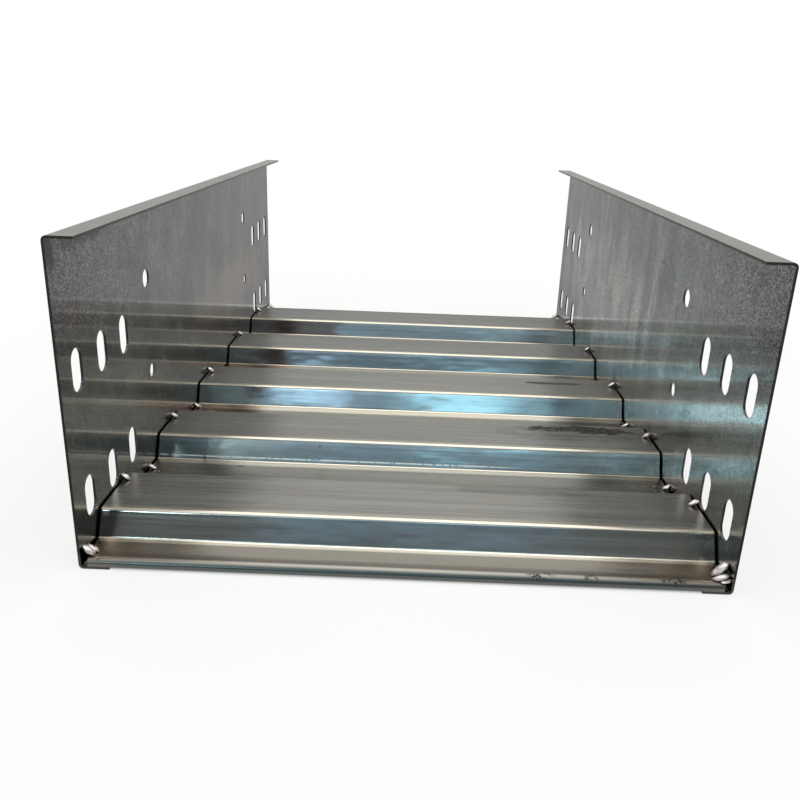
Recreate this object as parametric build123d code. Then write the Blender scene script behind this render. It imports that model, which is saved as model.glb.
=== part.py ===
from build123d import *
import os

# Steel cable tray section: two C-shaped side rails, a corrugated base plate pressed from one
# sheet, and the tack welds that hold the plate between the rails.
# Millimetres. X runs across the tray, Y along it, Z up. The origin is the middle of the
# rectangle that the rails' undersides cover, so the tray stands on Z = 0.
# Stations are distances along Y from the near end, which lies at the lowest Y.

# Overall sizes
tray_length = 500.0
outer_width = 300.0
outer_height = 152.0

# Side rails
rail_sheet = 1.2
rail_bend_radius = 2.2
top_flange = 13.0
bottom_flange = 14.0

# Upright slots near each end of a rail, for the bolts of a joining plate
slot_length = 20.5
slot_width = 11.5
slot_columns = 3
slot_end_distance = 18.5
slot_pitch = 30.0
upper_slot_height = 90.0
lower_slot_height = 28.5

# Round holes behind the slots
round_hole_end_distance = 119.0
upper_hole_diameter = 10.5
upper_hole_height = 111.0
lower_hole_diameter = 8.5
lower_hole_height = 58.0

# Corrugated base plate
plate_sheet = 1.2
plate_side_gap = 1.0
plate_corner_relief = 1.8
floor_lift = 3.8
nose_radius = 3.4
rib_height = 12.7
rib_crest_width = 41.0
rib_slope_run = 6.5
rib_spacing = 40.0
near_floor_width = 20.0
rib_inner_radius = 1.2

# Tack welds: beads with tapered ends in the corner between plate and wall
tack_radius = 5.0
tack_half_length = 3.6
end_tack_radius = 6.4
end_tack_half_length = 4.6
tack_taper = 2.0
crest_tack_setback = 14.0
end_tack_distance = 8.5
floor_tack_setbacks = (17.0, 9.0)

# Sizes that follow
near_end = -tray_length / 2
wall_face = outer_width / 2 - rail_sheet
plate_half_width = wall_face - plate_side_gap
floor_top = rail_sheet + floor_lift
crest_top = floor_top + rib_height
rib_outer_radius = rib_inner_radius + plate_sheet
rib_foot_width = rib_crest_width + 2 * rib_slope_run
rib_pitch = rib_foot_width + rib_spacing
rib_count = 1 + int((tray_length - 2 * near_floor_width - rib_foot_width) // rib_pitch)


def rib_foot(rib):
    """Station where a rib starts to rise from the floor, counted from the near end."""
    return near_floor_width + rib * rib_pitch


def c_profile():
    """Section of the left rail: a web with both flanges turned in towards the cables."""
    left = -outer_width / 2
    with BuildSketch(Plane.XZ) as section:
        with BuildLine():
            FilletPolyline(
                (left + top_flange, outer_height),
                (left, outer_height),
                (left, 0),
                (left + bottom_flange, 0),
                radius=rail_bend_radius,
            )
            offset(amount=rail_sheet, side=Side.LEFT)
        make_face()
    return section.sketch


def hole_stations(from_end):
    """The same distance measured from both ends of the rail, as positions along Y."""
    return (near_end + from_end, -near_end - from_end)


def web_cutter():
    """Slots and round holes of the left rail, as one set of cutters through its web."""
    with BuildPart() as cutter:
        with BuildSketch(Plane.YZ.offset(-outer_width / 2 - rail_sheet)):
            for column in range(slot_columns):
                for y in hole_stations(slot_end_distance + column * slot_pitch):
                    with Locations((y, upper_slot_height), (y, lower_slot_height)):
                        SlotOverall(slot_length, slot_width, rotation=90)
            for y in hole_stations(round_hole_end_distance):
                with Locations((y, upper_hole_height)):
                    Circle(upper_hole_diameter / 2)
                with Locations((y, lower_hole_height)):
                    Circle(lower_hole_diameter / 2)
        extrude(amount=3 * rail_sheet)
    return cutter.part


def left_rail():
    rail = extrude(c_profile(), amount=tray_length / 2, both=True)
    return rail - web_cutter()


def plate_outline():
    """Top line of the plate from the near lip to the far lip, and the radius at each bend."""
    points = [(near_end, rail_sheet), (near_end, floor_top)]
    radii = [nose_radius]
    for rib in range(rib_count):
        foot = near_end + rib_foot(rib)
        rise_end = foot + rib_slope_run
        fall_start = rise_end + rib_crest_width
        points.append((foot, floor_top))
        points.append((rise_end, crest_top))
        points.append((fall_start, crest_top))
        points.append((fall_start + rib_slope_run, floor_top))
        radii += [rib_inner_radius, rib_outer_radius, rib_outer_radius, rib_inner_radius]
    points.append((-near_end, floor_top))
    points.append((-near_end, rail_sheet))
    radii.append(nose_radius)
    return points, radii


def corner_cutters():
    """Slivers cut off the plate's corners, so that it narrows from the first rib to its lip."""
    edge = plate_half_width
    with BuildPart() as cutters:
        with BuildSketch():
            for side in (-1, 1):
                for end in (-1, 1):
                    Polygon(
                        (side * edge, -end * near_end),
                        (side * (edge - plate_corner_relief), -end * near_end),
                        (side * edge, -end * (near_end + near_floor_width)),
                        align=None,
                    )
        extrude(amount=crest_top)
    return cutters.part


def base_plate():
    """Corrugated plate: its lips stand on the rails' bottom flanges."""
    points, radii = plate_outline()
    with BuildSketch(Plane.YZ) as section:
        with BuildLine():
            FilletPolyline(*points, radius=radii)
            offset(amount=plate_sheet, side=Side.RIGHT)
        make_face()
    return extrude(section.sketch, amount=plate_half_width, both=True) - corner_cutters()


def tack(station, seat_height, radius, half_length):
    """One weld bead on the left wall: it lies on the plate and fills the gap beside it."""
    bead = Rot(90, 0, 0) * Cylinder(radius, 2 * half_length)
    bead = chamfer(bead.edges().filter_by(GeomType.CIRCLE), tack_taper)
    above_plate = Box(
        radius, 2 * half_length, radius, align=(Align.MIN, Align.CENTER, Align.MIN)
    )
    beside_plate = Box(
        plate_side_gap, 2 * half_length, plate_sheet, align=(Align.MIN, Align.CENTER, Align.MAX)
    )
    return Pos(-wall_face, near_end + station, seat_height) * (bead & (above_plate + beside_plate))


def tack_places():
    """Station, seat and size of each bead along a wall: on every crest, on the floor in
    front of the second and third ribs, and on the floor near both ends."""
    places = []
    for rib in range(rib_count):
        crest_back = rib_foot(rib) + rib_slope_run + rib_crest_width
        places.append((crest_back - crest_tack_setback, crest_top, tack_radius, tack_half_length))
    for rib, setback in zip(range(1, rib_count), floor_tack_setbacks):
        places.append((rib_foot(rib) - setback, floor_top, tack_radius, tack_half_length))
    for station in (end_tack_distance, tray_length - end_tack_distance):
        places.append((station, floor_top, end_tack_radius, end_tack_half_length))
    return places


def left_tacks():
    return Compound(children=[tack(*place) for place in tack_places()])


def right_tacks():
    """Beads at the same stations on the right wall, as left beads turned half round the Z axis."""
    beads = []
    for station, seat_height, radius, half_length in tack_places():
        beads.append(Rot(0, 0, 180) * tack(tray_length - station, seat_height, radius, half_length))
    return Compound(children=beads)


os.makedirs("parts", exist_ok=True)
side_rail = left_rail()
pieces = {
    "side_rail_left": side_rail,
    "side_rail_right": mirror(side_rail, about=Plane.YZ),
    "base_plate": base_plate(),
    "tack_welds_left": left_tacks(),
    "tack_welds_right": right_tacks(),
}
for name, piece in pieces.items():
    export_step(piece, f"parts/{name}.step")
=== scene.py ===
import math
import random

import bmesh
import bpy
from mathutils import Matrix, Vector, noise


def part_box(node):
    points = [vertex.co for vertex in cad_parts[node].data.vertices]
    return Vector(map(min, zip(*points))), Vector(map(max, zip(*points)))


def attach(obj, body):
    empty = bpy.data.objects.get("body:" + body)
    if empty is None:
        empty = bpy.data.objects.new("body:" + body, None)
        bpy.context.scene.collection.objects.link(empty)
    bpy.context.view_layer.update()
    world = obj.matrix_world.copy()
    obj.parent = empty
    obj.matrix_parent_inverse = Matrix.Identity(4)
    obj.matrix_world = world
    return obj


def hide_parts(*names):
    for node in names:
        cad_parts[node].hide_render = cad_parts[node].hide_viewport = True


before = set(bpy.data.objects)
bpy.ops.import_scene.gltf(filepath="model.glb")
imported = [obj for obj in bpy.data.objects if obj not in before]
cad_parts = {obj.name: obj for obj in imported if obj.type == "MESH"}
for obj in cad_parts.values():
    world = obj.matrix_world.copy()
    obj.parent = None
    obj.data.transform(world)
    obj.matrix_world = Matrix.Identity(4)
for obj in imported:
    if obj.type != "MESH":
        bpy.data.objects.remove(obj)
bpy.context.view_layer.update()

# Places and sizes that the frame gives, in metres
rail_low, rail_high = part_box("side_rail_left")
plate_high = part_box("base_plate")[1]
near_end = rail_low.y
half_width = -rail_low.x
height = rail_high.z
crest_top = plate_high.z
plate_half_width = plate_high.x

# Sizes of the sheet work that the finishes follow, in metres
rail_sheet = 0.0012
wall_face = half_width - rail_sheet
top_flange = 0.013
flange_tip = half_width - top_flange
floor_top = 0.005
rib_pitch = 0.094
rib_slope_run = 0.0065
rib_crest_width = 0.041
near_floor_width = 0.020
crest_tack_setback = 0.014
first_crest_tack = near_floor_width + rib_slope_run + rib_crest_width - crest_tack_setback


def ink(red, green, blue):
    return (red, green, blue, 1.0)


class Finish:
    """One material, with short calls that add its nodes."""

    def __init__(self, name):
        self.material = bpy.data.materials.new(name)
        self.material.use_nodes = True
        self.tree = self.material.node_tree
        self.shader = self.tree.nodes["Principled BSDF"]
        self.place = self.add("ShaderNodeTexCoord").outputs["Object"]

    def add(self, kind, values=None, **settings):
        node = self.tree.nodes.new(kind)
        for key, value in settings.items():
            setattr(node, key, value)
        for key, value in (values or {}).items():
            self.put(node.inputs[key], value)
        return node

    def put(self, socket, value):
        if isinstance(value, bpy.types.NodeSocket):
            self.tree.links.new(value, socket)
        else:
            socket.default_value = value

    def set_shader(self, values):
        """Set inputs of the shader by their names."""
        for key, value in values.items():
            self.put(self.shader.inputs[key], value)

    def math(self, operation, a, b=0.0, clamp=False):
        node = self.add("ShaderNodeMath", {0: a, 1: b}, operation=operation, use_clamp=clamp)
        return node.outputs[0]

    def absolute(self, value):
        return self.math("ABSOLUTE", value)

    def product(self, *factors):
        result = factors[0]
        for factor in factors[1:]:
            result = self.math("MULTIPLY", result, factor)
        return result

    def most(self, *values):
        result = values[0]
        for value in values[1:]:
            result = self.math("MAXIMUM", result, value)
        return result

    def axes(self, vector):
        return self.add("ShaderNodeSeparateXYZ", {0: vector}).outputs

    def step(self, value, low, high, from_value=0.0, to_value=1.0):
        """Smooth change from from_value at low to to_value at high."""
        node = self.add(
            "ShaderNodeMapRange",
            {
                "Value": value,
                "From Min": low,
                "From Max": high,
                "To Min": from_value,
                "To Max": to_value,
            },
            interpolation_type="SMOOTHSTEP",
        )
        return node.outputs[0]

    def noise(self, stretch, detail=2.0, roughness=0.5, shift=0.0):
        """Noise with as many features per metre along X, Y and Z as stretch says."""
        shifts = (shift, shift, shift)
        moved = self.add("ShaderNodeVectorMath", {0: self.place, 1: shifts}, operation="ADD")
        inputs = {0: moved.outputs[0], 1: stretch}
        scaled = self.add("ShaderNodeVectorMath", inputs, operation="MULTIPLY")
        values = {"Vector": scaled.outputs[0], "Scale": 1.0, "Detail": detail, "Roughness": roughness}
        return self.add("ShaderNodeTexNoise", values).outputs["Fac"]

    def mix(self, factor, a, b, blend="MIX"):
        node = self.add("ShaderNodeMix", data_type="RGBA", blend_type=blend)
        self.put(node.inputs["Factor"], factor)
        self.put(node.inputs["A"], a)
        self.put(node.inputs["B"], b)
        return node.outputs["Result"]

    def bump(self, relief, distance, under=None):
        """Normal of fine relief, on top of the normal of other relief under it."""
        values = {"Height": relief, "Strength": 1.0, "Distance": distance}
        if under is not None:
            values["Normal"] = under
        return self.add("ShaderNodeBump", values).outputs["Normal"]


class SheetFinish(Finish):
    """Finish of sheet metal. Its colour is painted in layers: each call of shade, vary or tint
    changes what the calls before it left."""

    def __init__(self, name):
        super().__init__(name)
        facing = self.add("ShaderNodeNewGeometry").outputs["True Normal"]
        self.x, self.y, self.z = self.axes(self.place)
        self.nx, self.ny, self.nz = self.axes(facing)
        self.station = self.math("SUBTRACT", self.y, near_end)
        self.colour = ink(0.0, 0.0, 0.0)

    def shade(self, factor):
        """Make the colour lighter or darker by a factor."""
        values = {0: self.colour, "Scale": factor}
        self.colour = self.add("ShaderNodeVectorMath", values, operation="SCALE").outputs[0]

    def vary(self, mask, change):
        """Make the colour lighter, or darker by a negative change, as far as the mask says."""
        self.shade(self.math("ADD", 1.0, self.product(mask, change)))

    def tint(self, hue, *masks):
        """Turn the colour to a hue as far as the masks together say."""
        self.colour = self.mix(self.product(*masks), self.colour, hue)

    def reach(self, offsets, radii, ragged=None):
        """One near the middle of an ellipsoid, zero from its edge on. A ragged value moves the
        edge in or out."""
        total = 0.0
        for offset, radius in zip(offsets, radii):
            part = self.math("DIVIDE", offset, radius)
            total = self.math("ADD", self.math("MULTIPLY", part, part), total)
        far = self.math("SQRT", total)
        if ragged is not None:
            far = self.math("ADD", far, ragged)
        return self.step(far, 0.35, 1.0, 1.0, 0.0)

    def spot(self, centre, radii, ragged=None):
        """The same for an ellipsoid whose centre is given by its X, station and Z."""
        across, station, up = centre
        offsets = (
            self.math("SUBTRACT", self.x, across),
            self.math("SUBTRACT", self.y, near_end + station),
            self.math("SUBTRACT", self.z, up),
        )
        return self.reach(offsets, radii, ragged)

    def tack_halo(self, height_above, rise):
        """Mask round the tack welds of the crests, which repeat with the ribs."""
        station = self.math("SUBTRACT", self.y, near_end + first_crest_tack - rib_pitch / 2)
        along = self.math("SUBTRACT", self.math("FLOORED_MODULO", station, rib_pitch), rib_pitch / 2)
        from_wall = self.math("SUBTRACT", wall_face, self.absolute(self.x))
        up = self.math("SUBTRACT", self.z, crest_top + height_above)
        return self.reach((along, from_wall, up), (0.011, 0.014, rise))


class RailSteel(SheetFinish):
    """Zinc-coated rail sheet: grainy near the ends, streaked further in, with painted light and shade,
    and dark where it is cut.
    """

    def __init__(self):
        super().__init__("rail_steel")
        # Masks and noise that several layers share
        self.right = self.step(self.x, -0.01, 0.01)
        self.inside = self.step(self.product(self.nx, self.x), 0.0, -0.05)
        self.grain = self.noise((1050, 1050, 1050), detail=4, roughness=0.7)
        self.mottle = self.noise((70, 70, 70), detail=4, roughness=0.6, shift=2.3)
        self.streaks = self.noise((48, 48, 9), detail=4, roughness=0.6, shift=4.1)
        # The layers, from the lowest one up
        self.paint_zinc()
        self.paint_pale_patches()
        self.paint_grain()
        self.paint_streaks()
        self.paint_pink_cast()
        soot = self.paint_soot()
        self.paint_top_flange()
        cut = self.paint_cut_edges()
        self.set_surface(self.most(cut, soot))

    def paint_zinc(self):
        """Violet grey towards the upper near corners, most on the left, and greenish grey further in.
        Painted light makes the right rail paler than the left one, and painted shade darkens both low
        down and the left one towards its far end."""
        clouds = self.noise((13, 13, 13), detail=3, shift=7.7)
        mostly_left = self.step(self.x, 0.01, -0.01, 0.3, 1.0)
        near = self.step(self.station, 0.15, 0.04)
        near_top = self.product(self.step(self.z, 0.075, 0.125), near, mostly_left)
        violet = self.math("ADD", near_top, self.step(clouds, 0.35, 0.65, -0.35, 0.35), clamp=True)
        self.colour = self.mix(violet, ink(0.240, 0.256, 0.242), ink(0.292, 0.272, 0.284))
        # Painted light: the right rail is paler than the left one
        self.shade(self.step(self.right, 0.0, 1.0, 0.93, 1.12))
        # Painted shade low down on both webs, above the plate
        self.tint(ink(0.205, 0.211, 0.198), self.step(self.z, 0.058, 0.032, 0.0, 0.75))
        self.shade(self.step(self.mottle, 0.25, 0.75, 0.80, 1.18))
        # Painted shade on the left web towards its far end
        left_far_shade = self.product(self.step(self.x, 0.01, -0.01), self.step(self.station, 0.14, 0.24))
        self.shade(self.step(left_far_shade, 0.0, 1.0, 1.0, 0.88))

    def paint_pale_patches(self):
        """Inside, the left web is paler between its slots, and painted light makes the right web
        pale low down on its far half."""
        mottled_rim = self.step(self.mottle, 0.2, 0.8, -0.2, 0.2)
        between_slots = self.spot((-wall_face, 0.078, 0.074), (0.02, 0.050, 0.022), mottled_rim)
        self.tint(ink(0.330, 0.350, 0.335), between_slots, self.inside, 0.6)
        streaked_rim = self.step(self.streaks, 0.3, 0.7, 0.25, -0.25)
        # Painted light low down on the far half of the right web
        painted_light_low_far = self.spot((wall_face, 0.33, 0.072), (0.02, 0.22, 0.060), streaked_rim)
        self.tint(ink(0.560, 0.560, 0.530), painted_light_low_far, self.inside, 0.85)

    def paint_grain(self):
        """Grain, strongest towards the upper near corners, and spangle."""
        corner = self.product(self.step(self.z, 0.07, 0.15), self.step(self.station, 0.16, 0.0))
        by_side = self.step(self.right, 0.0, 1.0, 0.42, 0.48)
        depth = self.math("ADD", self.product(corner, 0.50), by_side)
        self.vary(self.step(self.grain, 0.38, 0.60, -1.0, 0.60), depth)
        spangle = self.noise((330, 330, 250), detail=3, roughness=0.6, shift=6.6)
        self.shade(self.step(spangle, 0.32, 0.68, 0.81, 1.19))

    def paint_streaks(self):
        """Upright streaks, scuffs, stains and bluish blotches, away from the near end."""
        scuffs = self.noise((160, 160, 26), detail=3, roughness=0.6, shift=9.4)
        stains = self.noise((36, 36, 13), detail=4, roughness=0.65, shift=3.7)
        blotches = self.noise((42, 42, 34), detail=5, roughness=0.62, shift=12.4)
        streaked = self.product(
            self.step(self.station, 0.10, 0.20),
            self.step(self.z, 0.035, 0.075),
            self.step(self.x, -0.01, 0.01, 0.8, 1.0),
        )
        self.vary(streaked, self.step(self.streaks, 0.32, 0.70, -0.15, 0.13))
        self.vary(streaked, self.step(scuffs, 0.30, 0.62, -0.09, 0.06))
        stained = self.product(
            self.step(self.station, 0.06, 0.14),
            self.step(self.x, -0.01, 0.01, 0.6, 1.0),
        )
        self.vary(stained, self.step(stains, 0.32, 0.66, -0.17, 0.14))
        further = self.step(self.station, 0.02, 0.10)
        self.vary(further, self.step(blotches, 0.36, 0.64, -0.17, 0.15))
        bluish = self.product(further, self.step(blotches, 0.55, 0.38))
        self.colour = self.mix(bluish, self.colour, ink(0.93, 1.0, 1.05), "MULTIPLY")

    def paint_pink_cast(self):
        """A pink cast low down on the far half of the left web."""
        streaked_rim = self.step(self.streaks, 0.3, 0.7, 0.22, -0.22)
        pink = self.spot((-wall_face, 0.34, 0.064), (0.02, 0.15, 0.034), streaked_rim)
        self.tint(ink(0.40, 0.335, 0.30), pink, self.inside, 0.75)

    def paint_soot(self):
        """Soot at the left rail's upper near corner and round the welds, pits and two scratches.
        Returns where they are."""
        ragged = self.step(self.mottle, 0.2, 0.8, -0.35, 0.35)
        corner = self.spot((-wall_face, 0.003, 0.148), (0.02, 0.0075, 0.012), ragged)
        rim = self.spot((-wall_face, 0.036, 0.1475), (0.02, 0.045, 0.007), ragged)
        soot = self.most(corner, self.product(0.6, rim))
        for at_side, station, up, wide, tall in (
            (-1, 0.0286, 0.1306, 0.0012, 0.0011),
            (-1, 0.1283, 0.1427, 0.0020, 0.0012),
            (-1, 0.0583, 0.1357, 0.0010, 0.0010),
            (1, 0.0230, 0.1232, 0.0010, 0.0012),
            (1, 0.1548, 0.1255, 0.0009, 0.0085),
            (1, 0.1680, 0.1218, 0.0110, 0.0005),
        ):
            pit = self.spot((at_side * wall_face, station, up), (0.01, wide, tall))
            soot = self.most(soot, pit)
        soot = self.most(soot, self.product(0.7, self.tack_halo(0.002, 0.008)))
        self.tint(ink(0.07, 0.06, 0.055), soot, 0.85)
        return soot

    def paint_top_flange(self):
        """Painted light on both faces of the flange, with painted shade on top towards the far end."""
        top_zone = self.step(self.z, height - 0.0020, height - 0.0005)
        top = self.product(self.step(self.nz, 0.4, 0.8), top_zone)
        self.tint(ink(0.335, 0.330, 0.305), top, 0.75)
        self.vary(top, self.step(self.station, 0.05, 0.30, 0.0, -0.5))
        under_zone = self.step(self.z, height - 0.0050, height - 0.0030)
        under = self.product(self.step(self.nz, -0.4, -0.8), under_zone)
        self.tint(ink(0.50, 0.50, 0.48), under, 0.8)

    def paint_cut_edges(self):
        """Every cut edge is dull dark steel, painted near black as shade on the thin faces: the
        rail's ends, the holes' rims and the flanges' tips. Returns where they are."""
        ends = self.step(self.absolute(self.ny), 0.02, 0.05)
        rims = self.product(
            self.step(self.absolute(self.nz), 0.3, 0.5),
            self.step(self.z, 0.006, 0.007),
            self.step(self.z, height - 0.0050, height - 0.0060),
        )
        tips = self.product(
            self.step(self.absolute(self.nx), 0.8, 0.9),
            self.step(self.absolute(self.x), flange_tip + 0.0003, flange_tip - 0.0001),
        )
        cut = self.most(ends, rims, tips)
        # Cut edges painted near black, partly as painted shade
        self.tint(ink(0.040, 0.037, 0.036), cut)
        return cut

    def set_surface(self, rough):
        """Bright coated metal, dull where the mask says that it is rough."""
        mottled = self.step(self.mottle, 0.25, 0.75, 0.22, 0.28)
        waves = self.noise((16, 16, 16), detail=1, shift=5.2)
        self.set_shader(
            {
                "Base Color": self.colour,
                "Metallic": 1.0,
                "Roughness": self.math("ADD", mottled, self.product(rough, 0.2)),
                "Specular Tint": ink(0.72, 0.72, 0.72),
                "Coat Weight": 0.6,
                "Coat Roughness": 0.06,
                "Normal": self.bump(self.grain, 0.000008, self.bump(waves, 0.0005)),
            }
        )


class PlateSteel(SheetFinish):
    """Pressed sheet: rolling marks across the tray, smooth bends with painted highlights, painted light
    and shade, smears and heat tint.
    """

    def __init__(self):
        super().__init__("plate_steel")
        # Masks and noise that several layers share
        past_floor = self.math("SUBTRACT", self.station, near_floor_width)
        self.along = self.math("FLOORED_MODULO", past_floor, rib_pitch)
        self.from_middle = self.absolute(self.y)
        self.lip = self.step(self.from_middle, -near_end - 0.0040, -near_end - 0.0025)
        self.front = self.step(self.ny, -0.80, -0.88)
        self.past_first = self.step(self.station, 0.08, 0.09)
        self.brush = self.noise((7, 420, 420), detail=4, roughness=0.6)
        self.mottle = self.noise((55, 110, 110), detail=4, roughness=0.6, shift=2.0)
        self.flecks = self.noise((520, 520, 520), detail=3, roughness=0.7, shift=8.8)
        self.ragged = self.step(self.mottle, 0.2, 0.8, -0.45, 0.45)
        # The layers, from the lowest one up
        self.paint_sheet()
        self.paint_bend_highlights()
        self.paint_ends()
        self.paint_floors()
        line = self.paint_reflected_line()
        self.paint_smudges()
        dark = self.most(self.smears(), self.pits(), self.scuffs())
        self.tint(ink(0.042, 0.035, 0.030), dark, 0.90)
        self.paint_dark_front_ends()
        self.paint_heat()
        self.set_surface(((dark, 0.25), (self.lip, 0.10), (line, 0.50)))

    def paint_sheet(self):
        """Bare sheet with painted shade on the far half, and a painted reflection that brightens its
        last front.
        """
        bands = self.noise((5, 90, 90), detail=3, shift=3.3)
        clouds = self.step(self.noise((9, 16, 16), detail=2, shift=6.1), 0.35, 0.65)
        self.colour = self.mix(clouds, ink(0.398, 0.392, 0.374), ink(0.378, 0.390, 0.376))
        self.shade(self.step(self.brush, 0.25, 0.75, 0.93, 1.07))
        self.shade(self.step(bands, 0.30, 0.70, 0.92, 1.08))
        self.tint(ink(0.37, 0.33, 0.29), self.step(self.mottle, 0.52, 0.72, 0.0, 0.30))
        # Painted shade on the far half of the sheet
        self.shade(self.step(self.station, 0.24, 0.30, 1.0, 0.81))
        # Painted shade on the far fronts and a painted reflection on the last one
        far_front_shade = self.step(self.station, 0.24, 0.30, 1.0, 0.88)
        last_front_reflection = self.step(self.station, 0.36, 0.38, 1.0, 1.75)
        change = self.math("SUBTRACT", self.product(far_front_shade, last_front_reflection), 1.0)
        self.vary(self.front, change)

    def paint_bend_highlights(self):
        """Painted highlights on the bends, and on the crests and fronts beside them."""
        # Painted highlight along the front edges of the crests
        on_crest = self.step(self.z, crest_top - 0.0006, crest_top - 0.0001)
        crest_edge = self.step(self.along, rib_slope_run + 0.0050, rib_slope_run + 0.0022)
        self.tint(ink(0.66, 0.63, 0.555), on_crest, crest_edge, 0.7)
        # Painted highlight on the bends
        steep = self.absolute(self.ny)
        not_lip = self.math("SUBTRACT", 1.0, self.lip)
        bend = self.product(self.step(steep, 0.02, 0.10), self.step(steep, 0.88, 0.82), not_lip)
        self.tint(ink(0.53, 0.495, 0.425), bend, 0.9)
        # Painted highlight on the fronts just below the crests
        below_crest = self.step(self.z, crest_top - 0.0040, crest_top - 0.0014)
        self.tint(ink(0.66, 0.64, 0.60), self.front, below_crest, self.past_first, 0.55)

    def paint_ends(self):
        """The floors at both ends are browned, partly as stains and partly as painted shade, with
        grime and painted shade beside the lips, which are dull and carry a painted dark reflection low
        down."""
        # Brown stains and painted shade on the end floors
        end_floor = self.step(self.from_middle, -near_end - near_floor_width, -near_end - 0.016)
        waver = self.step(self.mottle, 0.2, 0.8, -0.015, 0.015)
        outward = self.step(self.math("ADD", self.absolute(self.x), waver), 0.085, 0.135)
        brown = self.mix(outward, ink(0.240, 0.222, 0.195), ink(0.200, 0.155, 0.112))
        self.tint(brown, end_floor, 0.75)
        # A band of grime and painted shade just behind the lips
        from_end = self.math("SUBTRACT", -near_end, self.from_middle)
        past_lip = self.step(from_end, 0.0030, 0.0040)
        self.tint(ink(0.110, 0.090, 0.072), past_lip, self.step(from_end, 0.0085, 0.0055), 0.5)
        # Painted dark reflection low on the lips
        self.tint(ink(0.115, 0.128, 0.124), self.lip, self.step(self.z, 0.0050, 0.0041))

    def paint_floors(self):
        """Painted highlight on the floors in a strip just before each rib, and painted shade further
        from it.
        """
        on_floor = self.step(self.z, floor_top + 0.0012, floor_top + 0.0004)
        floor = self.product(on_floor, self.step(self.station, 0.460, 0.455))
        near_strip = self.step(self.station, 0.05, 0.06, 0.0030, 0.0055)
        wider = self.step(self.station, 0.15, 0.16, 0.0, 0.0027)
        strip_width = self.math("ADD", near_strip, wider)
        widths_away = self.math("DIVIDE", self.math("SUBTRACT", rib_pitch, self.along), strip_width)
        # Painted shade on the floors away from the ribs
        dull = self.product(floor, self.past_first, self.step(widths_away, 0.75, 1.25))
        self.vary(dull, -0.42)
        # Painted highlight in a strip just before each rib
        bright = self.product(
            floor,
            self.step(widths_away, 1.25, 0.75),
            self.step(self.station, 0.05, 0.06, 0.85, 0.42),
            self.step(self.station, 0.15, 0.16, 1.0, 2.38),
            self.step(self.station, 0.25, 0.29, 1.0, 0.35),
        )
        self.tint(ink(0.78, 0.745, 0.645), bright)

    def paint_reflected_line(self):
        """A thin broken line of painted reflection low on the second front. Returns where it is."""
        dashes = self.noise((330, 20, 20), detail=2, roughness=0.7, shift=1.2)
        off_line = self.absolute(self.math("SUBTRACT", self.z, floor_top + 0.0020))
        off_front = self.absolute(self.math("SUBTRACT", self.station, 0.117))
        line = self.product(
            self.front,
            self.step(off_line, 0.00050, 0.00020),
            self.step(dashes, 0.36, 0.48, 0.25, 1.0),
            self.step(off_front, 0.006, 0.005),
            self.step(self.x, 0.075, 0.045),
        )
        # Painted reflection: thin white dashes low on the second front
        self.tint(ink(0.92, 0.92, 0.88), line)
        return line

    def paint_smudges(self):
        """Soft dark smudges on the right of the first two crests."""
        second = self.spot((0.100, 0.1460, crest_top), (0.060, 0.016, 0.006), self.ragged)
        first = self.spot((0.055, 0.0630, crest_top), (0.050, 0.008, 0.006), self.ragged)
        self.vary(self.most(second, first), -0.24)

    def smears(self):
        """Smears of grease on the right of the second and third crests."""
        tears = self.noise((90, 300, 300), detail=4, roughness=0.7, shift=4.6)
        torn = self.step(tears, 0.25, 0.75, -0.58, 0.40)
        smear = self.most(
            self.spot((0.106, 0.1532, crest_top), (0.032, 0.0056, 0.006), torn),
            self.spot((0.120, 0.1515, crest_top), (0.020, 0.0066, 0.006), torn),
        )
        flecked = self.step(self.flecks, 0.35, 0.55, 0.80, 1.12)
        thin_rim = self.product(self.ragged, 0.5)
        line = self.spot((0.104, 0.2435, crest_top), (0.030, 0.0036, 0.006), thin_rim)
        return self.most(
            self.product(self.step(smear, 0.05, 0.4), flecked),
            self.product(0.9, self.step(line, 0.1, 0.5)),
        )

    def pits(self):
        """Pits in crests, floors and the second front."""
        result = 0.0
        for across, station, up, wide, deep in (
            (-0.1203, 0.1150, floor_top, 0.0012, 0.0016),
            (0.0976, 0.0685, crest_top, 0.0013, 0.0013),
            (0.1040, 0.0046, floor_top, 0.0010, 0.0010),
            (0.1399, 0.0617, crest_top, 0.0013, 0.0013),
            (-0.0979, 0.1072, floor_top, 0.0040, 0.0014),
            (-0.0525, 0.1175, crest_top - 0.003, 0.0028, 0.0030),
        ):
            pit = self.spot((across, station, up), (wide, deep, 0.003), self.ragged)
            result = self.most(result, self.product(0.85, pit))
        return result

    def scuffs(self):
        """Flecked scuffs on the bend of the near lip."""
        result = 0.0
        for across, wide in ((0.0620, 0.0085), (0.0850, 0.0045), (0.1230, 0.0110)):
            rubbed = self.spot((across, 0.0022, floor_top), (wide, 0.0035, 0.004))
            scuff = self.product(rubbed, self.step(self.flecks, 0.50, 0.56))
            result = self.most(result, scuff)
        return result

    def paint_dark_front_ends(self):
        """The left ends of the far fronts are painted dark brown, and the third has painted shade at
        its right end."""
        past_second = self.step(self.station, 0.16, 0.18)
        waver = self.step(self.mottle, 0.2, 0.8, -0.008, 0.008)
        dark_end_reach = self.math("ADD", self.step(self.station, 0.30, 0.38, 0.0, 0.035), waver)
        dark_left_end = self.step(self.math("SUBTRACT", self.x, dark_end_reach), -0.096, -0.110)
        self.tint(ink(0.250, 0.160, 0.122), dark_left_end, self.front, past_second, 0.82)
        # Painted shade at the right end of the third front
        third = self.product(self.front, past_second, self.step(self.station, 0.25, 0.23))
        self.vary(self.product(third, self.step(self.x, 0.094, 0.106)), -0.38)

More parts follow.
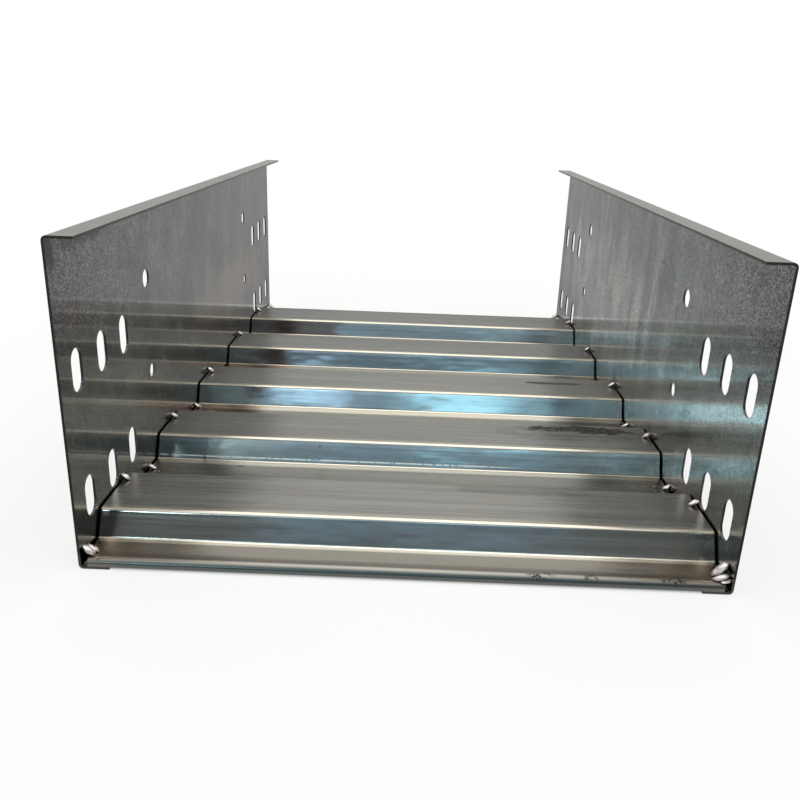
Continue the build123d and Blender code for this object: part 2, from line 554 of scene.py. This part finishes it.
    def paint_heat(self):
        """Heat tint at the welds, painted shade along both side edges beside the walls, and cut edges
        painted near black, partly as shade.
        """
        heat = self.tack_halo(0.0, 0.006)
        for at_side, station, radius in (
            (-1, 0.099, 0.012),
            (-1, 0.1995, 0.012),
            (1, 0.0975, 0.012),
            (1, 0.1935, 0.010),
            (-1, 0.0085, 0.020),
            (1, 0.0095, 0.024),
        ):
            centre = (at_side * 0.143, station, floor_top)
            heat = self.most(heat, self.spot(centre, (radius, radius, 0.008), self.ragged))
        # Painted shade along both side edges, beside the walls
        from_edge = self.math("SUBTRACT", plate_half_width, self.absolute(self.x))
        heat = self.most(heat, self.product(0.6, self.step(from_edge, 0.030, 0.0)))
        self.tint(ink(0.21, 0.165, 0.125), heat, 0.5)
        # Side faces painted near black, partly as shade in the gaps to the walls
        self.tint(ink(0.03, 0.028, 0.026), self.step(self.absolute(self.nx), 0.4, 0.6))

    def set_surface(self, rough):
        """Fronts are smooth, least so at their right ends. Rough gives masks and how much rougher
        the sheet is there."""
        smooth = self.product(self.front, self.step(self.x, 0.045, 0.080, 0.14, 0.08))
        brushed = self.step(self.brush, 0.2, 0.8, 0.24, 0.32)
        roughness = self.math("SUBTRACT", brushed, smooth)
        for mask, rise in rough:
            roughness = self.math("ADD", roughness, self.product(mask, rise))
        waves = self.noise((22, 60, 60), detail=2, shift=5.5)
        self.set_shader(
            {
                "Base Color": self.colour,
                "Metallic": 1.0,
                "Roughness": roughness,
                "Normal": self.bump(self.brush, 0.00002, self.bump(waves, 0.00035)),
            }
        )


def weld_steel():
    """Bright bead metal with brown scale low down at its edges."""
    n = Finish("weld_steel")
    burn = n.add("ShaderNodeAttribute", attribute_name="burn").outputs["Fac"]
    ripple = n.noise((700, 700, 700), detail=2)
    metal = n.mix(n.step(ripple, 0.35, 0.65), ink(0.58, 0.53, 0.51), ink(0.80, 0.76, 0.74))
    scale = n.math("ADD", burn, n.step(ripple, 0.2, 0.8, -0.15, 0.15))
    n.set_shader(
        {
            "Base Color": n.mix(n.step(scale, 0.30, 0.75), metal, ink(0.10, 0.075, 0.06)),
            "Metallic": 1.0,
            "Roughness": n.step(ripple, 0.3, 0.7, 0.38, 0.52),
            "Normal": n.bump(ripple, 0.0003),
        }
    )
    return n.material


def use_material(obj, material):
    obj.data.materials.clear()
    obj.data.materials.append(material)


rail_finish = RailSteel().material
plate_finish = PlateSteel().material
weld_finish = weld_steel()
for name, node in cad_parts.items():
    if name.startswith("side_rail"):
        use_material(node, rail_finish)
    elif name == "base_plate":
        use_material(node, plate_finish)
    else:
        use_material(node, weld_finish)


# How far the beads sink into wall and plate and hang into the gap between them, in metres
bead_sink = 0.0003
bead_drop_in_gap = 0.0010
far_lobe = dict(station=0.4915, wall_rise=0.0050, plate_reach=0.0064, half_length=0.0026, bulge=0.0018)
spatter_count = 9


def add_lobe(mesh, burn, at_side, seat, station, wall_rise, plate_reach, half_length, bulge, seed):
    """One lump of weld metal that slopes from the wall down to the plate. Its burn value says
    how much brown scale each vert has."""
    made = bmesh.ops.create_icosphere(mesh, subdivisions=3, radius=1.0)["verts"]
    slope = Vector((plate_reach, 0.0, -wall_rise))
    half_slope = slope.length / 2
    down = slope.normalized()
    out = Vector((wall_rise, 0.0, plate_reach)).normalized()
    middle = Vector((plate_reach / 2, 0.0, wall_rise / 2))
    for vert in made:
        unit = vert.co.copy()
        swell = 1.0 + 0.30 * noise.noise(unit * 1.7 + Vector((seed, 0.0, 0.0)))
        swell += 0.10 * noise.noise(unit * 4.5 + Vector((0.0, seed, 0.0)))
        local = middle + down * (unit.x * half_slope * swell) + out * (unit.z * bulge * swell)
        local.y += unit.y * half_length * swell * (1.0 - 0.25 * unit.x)
        over_gap = local.x < wall_face - plate_half_width
        local.x = max(local.x, -bead_sink)
        local.z = max(local.z, -bead_drop_in_gap if over_gap else -bead_sink)
        vert.co = Vector((at_side * (wall_face - local.x), near_end + station + local.y, seat + local.z))
        vert[burn] = min(1.0, max(0.0, 0.42 - 0.75 * unit.z + 0.22 * abs(unit.x)))
    if at_side > 0:
        faces = {face for vert in made for face in vert.link_faces}
        bmesh.ops.reverse_faces(mesh, faces=list(faces))


def add_spatter(mesh, burn, at_side, station, seat, out, size):
    """One drop of spatter, partly sunk into the plate."""
    made = bmesh.ops.create_icosphere(mesh, subdivisions=2, radius=size)["verts"]
    for vert in made:
        place = Vector((at_side * (wall_face - out), near_end + station, seat + 0.3 * size))
        vert.co = place + Vector((vert.co.x, vert.co.y * 1.2, vert.co.z * 0.8))
        vert[burn] = 0.45


def tack_beads(name, node, at_side, crest_stations, floor_stations, near_lobes, seed):
    """All beads along one wall: a lobe on each crest and floor station, the lobes of the near
    end, one lobe at the far end, and spatter round them."""
    mesh = bmesh.new()
    burn = mesh.verts.layers.float.new("burn")
    draw = random.Random(seed)
    for station in crest_stations:
        add_lobe(
            mesh, burn, at_side, crest_top, station,
            wall_rise=draw.uniform(0.0028, 0.0036),
            plate_reach=draw.uniform(0.0042, 0.0050),
            half_length=draw.uniform(0.0014, 0.0018),
            bulge=draw.uniform(0.0010, 0.0013),
            seed=draw.uniform(0.0, 50.0),
        )
    for station in floor_stations:
        add_lobe(
            mesh, burn, at_side, floor_top, station,
            wall_rise=draw.uniform(0.0024, 0.0032),
            plate_reach=draw.uniform(0.0038, 0.0046),
            half_length=0.0015,
            bulge=0.0010,
            seed=draw.uniform(0.0, 50.0),
        )
    for lobe in (*near_lobes, far_lobe):
        add_lobe(mesh, burn, at_side, floor_top, seed=draw.uniform(0.0, 50.0), **lobe)
    all_floor_stations = (near_lobes[0]["station"], *floor_stations)
    for _ in range(spatter_count):
        seat_on_crest = draw.random() < 0.4
        station = draw.choice(crest_stations if seat_on_crest else all_floor_stations)
        seat = crest_top if seat_on_crest else floor_top
        add_spatter(
            mesh, burn, at_side, station + draw.uniform(-0.008, 0.008), seat,
            out=draw.uniform(0.0065, 0.015),
            size=draw.uniform(0.00025, 0.00055),
        )
    data = bpy.data.meshes.new(name)
    mesh.to_mesh(data)
    mesh.free()
    data.polygons.foreach_set("use_smooth", [True] * len(data.polygons))
    piece = bpy.data.objects.new(name, data)
    bpy.context.scene.collection.objects.link(piece)
    use_material(piece, weld_finish)
    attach(piece, "root")
    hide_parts(node)


# Every crest has a bead on each side, and so have the floors before the second and third ribs.
# The near corners have heaped beads, of two lobes on the left and four on the right
tack_beads(
    "tack_beads_left", "tack_welds_left", -1,
    crest_stations=(0.058, 0.1475, 0.240, 0.343, 0.4295),
    floor_stations=(0.099, 0.1995),
    near_lobes=(
        dict(station=0.0040, wall_rise=0.0048, plate_reach=0.0054, half_length=0.0021, bulge=0.0014),
        dict(station=0.0072, wall_rise=0.0030, plate_reach=0.0060, half_length=0.0019, bulge=0.0012),
    ),
    seed=3,
)
tack_beads(
    "tack_beads_right", "tack_welds_right", 1,
    crest_stations=(0.0535, 0.144, 0.241, 0.334, 0.424),
    floor_stations=(0.0975, 0.1935),
    near_lobes=(
        dict(station=0.0074, wall_rise=0.0068, plate_reach=0.0068, half_length=0.0021, bulge=0.0019),
        dict(station=0.0040, wall_rise=0.0026, plate_reach=0.0078, half_length=0.0019, bulge=0.0014),
        dict(station=0.0105, wall_rise=0.0040, plate_reach=0.0042, half_length=0.0017, bulge=0.0010),
        dict(station=0.0022, wall_rise=0.0012, plate_reach=0.0044, half_length=0.0018, bulge=0.0006),
    ),
    seed=8,
)


def soft_lamp(name, place, target, width, depth, radiance, colour):
    """Rectangular lamp that looks as bright as a surface of that radiance."""
    data = bpy.data.lights.new(name, "AREA")
    data.shape = "RECTANGLE"
    data.size = width
    data.size_y = depth
    data.energy = radiance * math.pi * width * depth
    data.color = colour
    lamp = bpy.data.objects.new(name, data)
    bpy.context.scene.collection.objects.link(lamp)
    lamp.location = place
    lamp.rotation_euler = (Vector(target) - Vector(place)).to_track_quat("-Z", "Y").to_euler()
    lamp.visible_camera = False


def plane_mesh(name, width, depth):
    mesh = bpy.data.meshes.new(name)
    x = width / 2
    y = depth / 2
    mesh.from_pydata([(-x, -y, 0), (x, -y, 0), (x, y, 0), (-x, y, 0)], [], [(0, 1, 2, 3)])
    return mesh


def card(name, place, target, width, depth, edge, centre=None, fade=(0.0, 1.0)):
    """Studio card that only reflections see. Its colour is edge, or centre near its upright
    middle line, with a soft change between the two distances that fade gives."""
    mesh = plane_mesh(name, width, depth)
    obj = bpy.data.objects.new(name, mesh)
    bpy.context.scene.collection.objects.link(obj)
    obj.location = place
    obj.rotation_euler = (Vector(target) - Vector(place)).to_track_quat("Z", "Y").to_euler()
    n = Finish(name)
    across = n.absolute(n.axes(n.place)[0])
    colour = n.mix(n.step(across, *fade), ink(*(centre or edge)), ink(*edge))
    glow = n.add("ShaderNodeEmission", {"Color": colour, "Strength": 1.0})
    surface = n.tree.nodes["Material Output"].inputs["Surface"]
    n.tree.links.new(glow.outputs[0], surface)
    use_material(obj, n.material)
    for ray in ("camera", "diffuse", "transmission", "shadow"):
        setattr(obj, "visible_" + ray, False)


def bearing(azimuth, elevation, distance):
    """Point at that bearing from the tray, where azimuth 0 looks along it to the far end."""
    turn = math.radians(azimuth)
    rise = math.radians(elevation)
    away = distance * math.cos(rise)
    return (away * math.sin(turn), away * math.cos(turn), distance * math.sin(rise))


# One large lamp from above. The cards are what the bare metal reflects: a pale wall past the
# far end, and behind the camera a dim room with windows
middle = (0.0, 0.0, 0.03)
soft_lamp("overhead_softbox", (0.0, 0.0, 1.5), middle, 2.4, 2.2, 1.45, (1.0, 0.965, 0.90))
card("far_wall", bearing(0, 26, 3.0), middle, 6.0, 2.8, (0.56, 0.56, 0.535))
card("upper_wall", bearing(0, 46.5, 2.4), middle, 3.0, 0.62, (1.0, 0.98, 0.93))
card(
    "low_wall", (0.0, 0.44, 0.074), (0.0, 0.24, 0.514), 1.6, 0.37,
    edge=(0.34, 0.34, 0.34), centre=(0.54, 0.54, 0.53), fade=(0.03, 0.24),
)
card("front_table", (0.0, -0.86, 0.002), (0.0, -0.86, 1.0), 1.2, 1.2, (0.30, 0.33, 0.33))
card("room", bearing(180, 36, 3.4), middle, 6.4, 3.2, (0.18, 0.19, 0.178))
card("room_window_side", bearing(179.6, 33, 3.2), middle, 1.28, 1.2, (0.31, 0.43, 0.53))
card("room_low_left", bearing(195.0, 28.6, 3.0), middle, 0.36, 0.16, (0.42, 0.54, 0.54))
card("window_left", bearing(190.0, 33.8, 3.0), middle, 0.27, 0.22, (1.7, 2.8, 3.8))
card("window_right", bearing(173.8, 33.8, 3.0), middle, 0.52, 0.22, (1.45, 2.95, 3.75))
card("window_beside", bearing(203.3, 32.2, 3.0), middle, 0.42, 0.18, (13.5, 20.5, 23.5))


def light_path_mask(tree):
    """One for camera, glossy and transmission rays, so that metal shows the same background."""
    paths = tree.nodes.new("ShaderNodeLightPath")
    mask = paths.outputs["Is Camera Ray"]
    for ray in ("Is Glossy Ray", "Is Transmission Ray"):
        either = tree.nodes.new("ShaderNodeMath")
        either.operation = "MAXIMUM"
        tree.links.new(mask, either.inputs[0])
        tree.links.new(paths.outputs[ray], either.inputs[1])
        mask = either.outputs[0]
    return mask


# World: plain light, and white where it is seen
world = bpy.data.worlds.new("studio")
bpy.context.scene.world = world
world.use_nodes = True
tree = world.node_tree
tree.nodes.clear()
plain = tree.nodes.new("ShaderNodeBackground")
plain.inputs["Color"].default_value = ink(0.97, 0.98, 1.0)
plain.inputs["Strength"].default_value = 0.5
white = tree.nodes.new("ShaderNodeBackground")
white.inputs["Color"].default_value = ink(1.0, 1.0, 1.0)
white.inputs["Strength"].default_value = 1.0
blend = tree.nodes.new("ShaderNodeMixShader")
tree.links.new(light_path_mask(tree), blend.inputs["Fac"])
tree.links.new(plain.outputs[0], blend.inputs[1])
tree.links.new(white.outputs[0], blend.inputs[2])
out = tree.nodes.new("ShaderNodeOutputWorld")
tree.links.new(blend.outputs[0], out.inputs["Surface"])

# Pale floor that fades to white away from the tray and keeps its shadow
floor = bpy.data.objects.new("floor", plane_mesh("floor", 30.0, 30.0))
bpy.context.scene.collection.objects.link(floor)
n = Finish("floor")
n.set_shader({"Base Color": ink(0.9, 0.9, 0.9), "Roughness": 1.0, "Specular IOR Level": 0.0})
x, y = n.axes(n.place)[:2]
away = n.most(
    n.math("SUBTRACT", n.absolute(x), half_width),
    n.math("SUBTRACT", n.absolute(y), -near_end),
)
past_tray = n.step(away, -0.004, 0.001)
fade_to_white = n.step(away, 0.01, 0.30, 0.70, 1.0)
seen = n.product(light_path_mask(n.tree), past_tray, fade_to_white)
glow = n.add("ShaderNodeEmission", {"Color": ink(1.0, 1.0, 1.0), "Strength": 1.0})
mixed = n.tree.nodes.new("ShaderNodeMixShader")
n.put(mixed.inputs["Fac"], seen)
n.tree.links.new(n.shader.outputs[0], mixed.inputs[1])
n.tree.links.new(glow.outputs[0], mixed.inputs[2])
n.tree.links.new(mixed.outputs[0], n.tree.nodes["Material Output"].inputs["Surface"])
use_material(floor, n.material)

# Camera before the near end, a little above the rails and tipped down to the middle of the tray
camera_distance = 0.3193
camera_height = 0.2040
camera_turns = (70.09, -1.89, 1.24)
camera_data = bpy.data.cameras.new("camera")
camera_data.sensor_width = 36.0
camera_data.lens = 36.28
camera_data.clip_start = 0.01
camera_data.clip_end = 50.0
camera = bpy.data.objects.new("camera", camera_data)
bpy.context.scene.collection.objects.link(camera)
camera.location = (-0.0020, near_end - camera_distance, camera_height)
camera.rotation_euler = [math.radians(turn) for turn in camera_turns]
bpy.context.scene.camera = camera

bpy.context.scene.view_settings.view_transform = "Standard"
